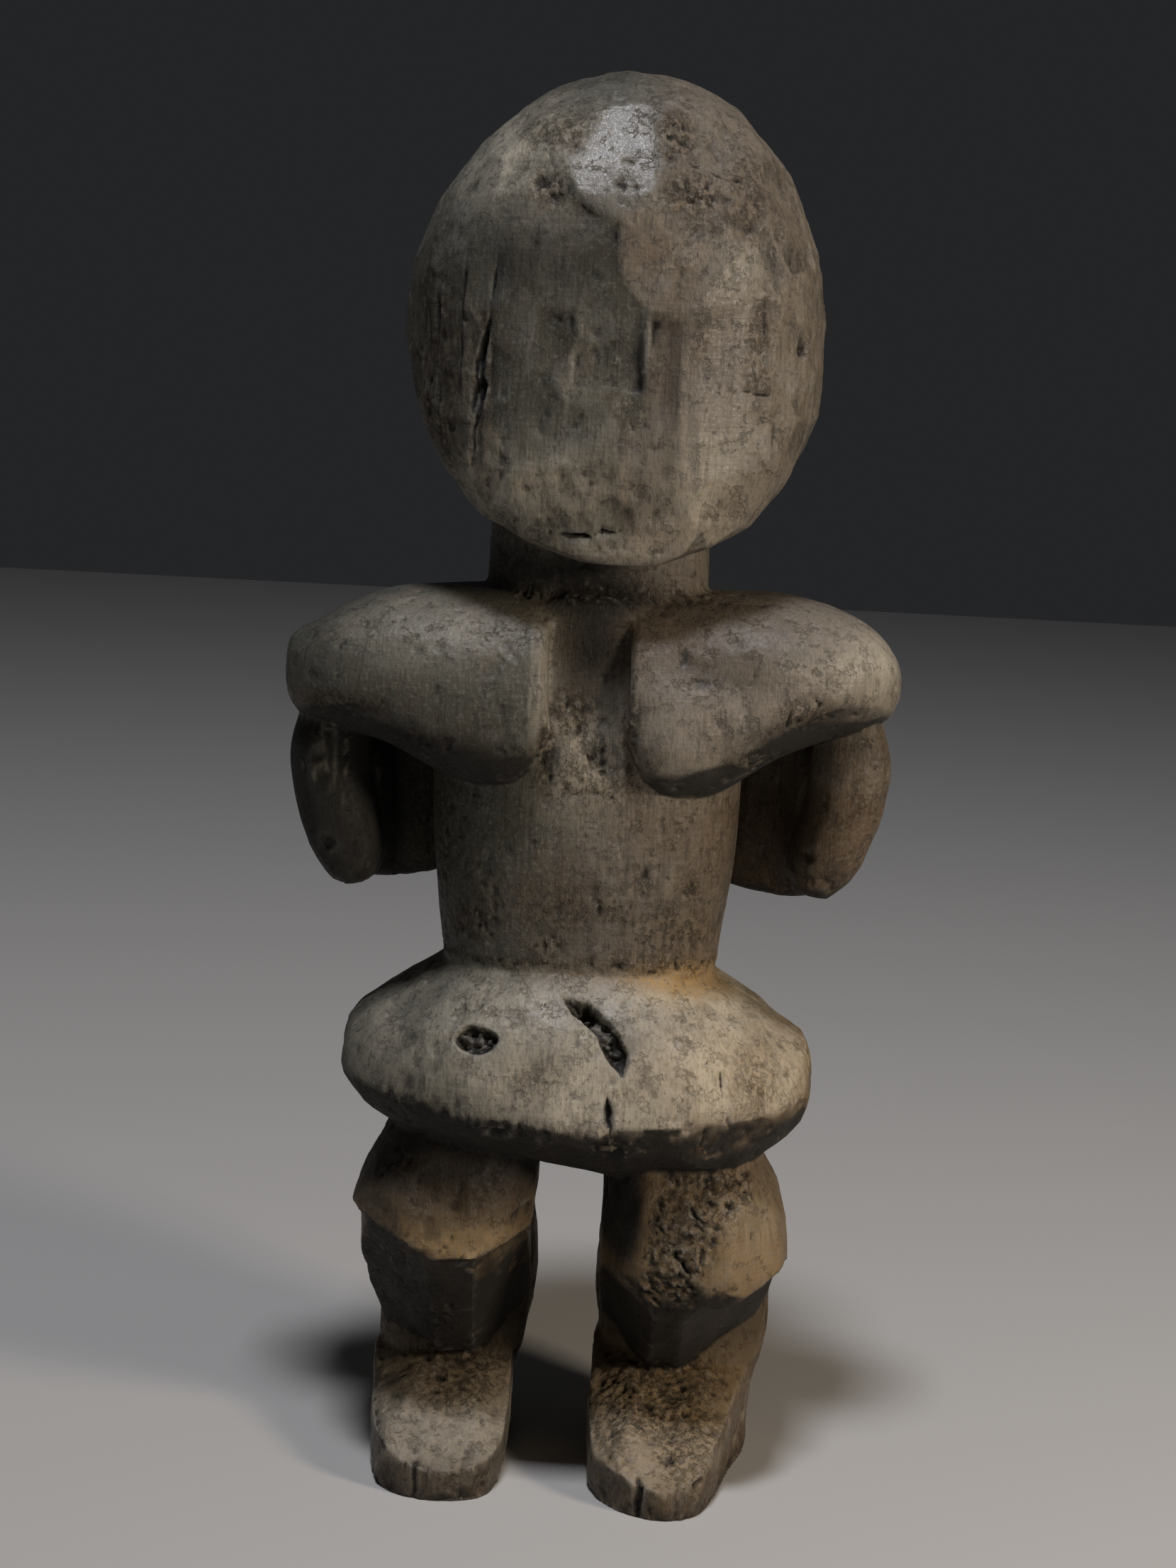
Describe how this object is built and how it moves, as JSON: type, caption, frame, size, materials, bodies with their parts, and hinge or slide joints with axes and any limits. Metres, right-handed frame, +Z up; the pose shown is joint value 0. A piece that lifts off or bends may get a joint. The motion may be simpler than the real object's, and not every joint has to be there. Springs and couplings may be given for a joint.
{
  "type": "carved standing figure",
  "caption": "Free-standing carved wooden figure with a large blank oval head, slab-like shoulders, arms bent behind the back, wide hips and short bent legs.",
  "frame": {"origin": "on the ground under the middle of the figure, at the centre of its box's underside", "axes": "+Z up, the face looks along -Y, +X is at the viewer's right when the face is seen"},
  "size_m": [0.209, 0.1222, 0.48],
  "materials": {
    "wood": "weathered grey-brown wood, dusty, with a worn semi-gloss patina on the crown and the hips"
  },
  "bodies": {
    "root": {"figure": "wood"}
  },
  "joints": []
}
